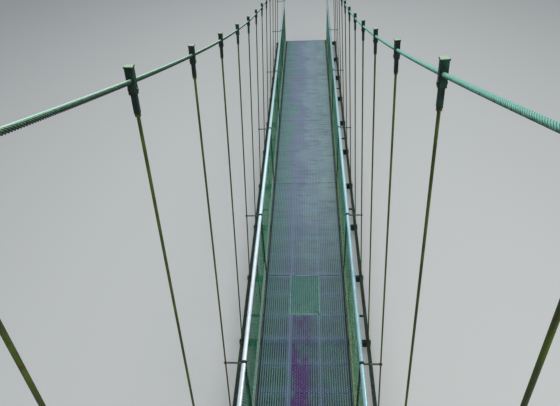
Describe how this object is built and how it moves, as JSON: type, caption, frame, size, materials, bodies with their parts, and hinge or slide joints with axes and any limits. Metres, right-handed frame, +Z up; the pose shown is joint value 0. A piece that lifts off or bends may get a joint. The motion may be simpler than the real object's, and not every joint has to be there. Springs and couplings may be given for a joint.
{
  "type": "suspension footbridge section",
  "caption": "Painted steel suspension footbridge section: rope cables and leaning rod hangers carry a mesh deck with mesh sides and pipe handrails.",
  "frame": {"origin": "middle of the flat outer face of the near end's crossbeam", "axes": "+Y along the bridge from the near end to the far end, +X to the right, +Z up"},
  "size_m": [1.83, 14.696, 5.6817],
  "materials": {
    "frame_paint": "dark green paint, satin, dulled",
    "deck_mesh": "worn grey-green paint on expanded metal",
    "patch_mesh": "newer green paint on expanded metal",
    "side_mesh": "dark green coated wire mesh",
    "rail_paint": "glossy green paint",
    "wire_rope": "green paint over wire rope",
    "hanger_paint": "olive green paint, weathered"
  },
  "bodies": {
    "root": {"deck_frame_1": "frame_paint", "deck_sheet_1": "deck_mesh", "deck_frame_2": "frame_paint", "deck_sheet_2": "deck_mesh", "deck_patch": "patch_mesh", "deck_frame_3": "frame_paint", "deck_sheet_3": "deck_mesh", "deck_frame_4": "frame_paint", "deck_sheet_4": "deck_mesh", "deck_frame_5": "frame_paint", "deck_sheet_5": "deck_mesh", "deck_frame_6": "frame_paint", "deck_sheet_6": "deck_mesh", "side_panel_left_1": "side_mesh", "side_panel_left_2": "side_mesh", "side_panel_left_3": "side_mesh", "side_panel_left_4": "side_mesh", "side_panel_left_5": "side_mesh", "handrail_left": "rail_paint", "main_cable_left": "wire_rope", "hanger_left_00": "hanger_paint", "hanger_left_01": "hanger_paint", "hanger_left_02": "hanger_paint", "hanger_left_03": "hanger_paint", "hanger_left_04": "hanger_paint", "hanger_left_05": "hanger_paint", "hanger_left_06": "hanger_paint", "hanger_left_07": "hanger_paint", "hanger_left_08": "hanger_paint", "hanger_left_09": "hanger_paint", "hanger_left_10": "hanger_paint", "hanger_left_11": "hanger_paint", "hanger_left_12": "hanger_paint", "side_panel_right_1": "side_mesh", "side_panel_right_2": "side_mesh", "side_panel_right_3": "side_mesh", "side_panel_right_4": "side_mesh", "side_panel_right_5": "side_mesh", "handrail_right": "rail_paint", "main_cable_right": "wire_rope", "hanger_right_00": "hanger_paint", "hanger_right_01": "hanger_paint", "hanger_right_02": "hanger_paint", "hanger_right_03": "hanger_paint", "hanger_right_04": "hanger_paint", "hanger_right_05": "hanger_paint", "hanger_right_06": "hanger_paint", "hanger_right_07": "hanger_paint", "hanger_right_08": "hanger_paint", "hanger_right_09": "hanger_paint", "hanger_right_10": "hanger_paint", "hanger_right_11": "hanger_paint", "hanger_right_12": "hanger_paint"}
  },
  "joints": []
}
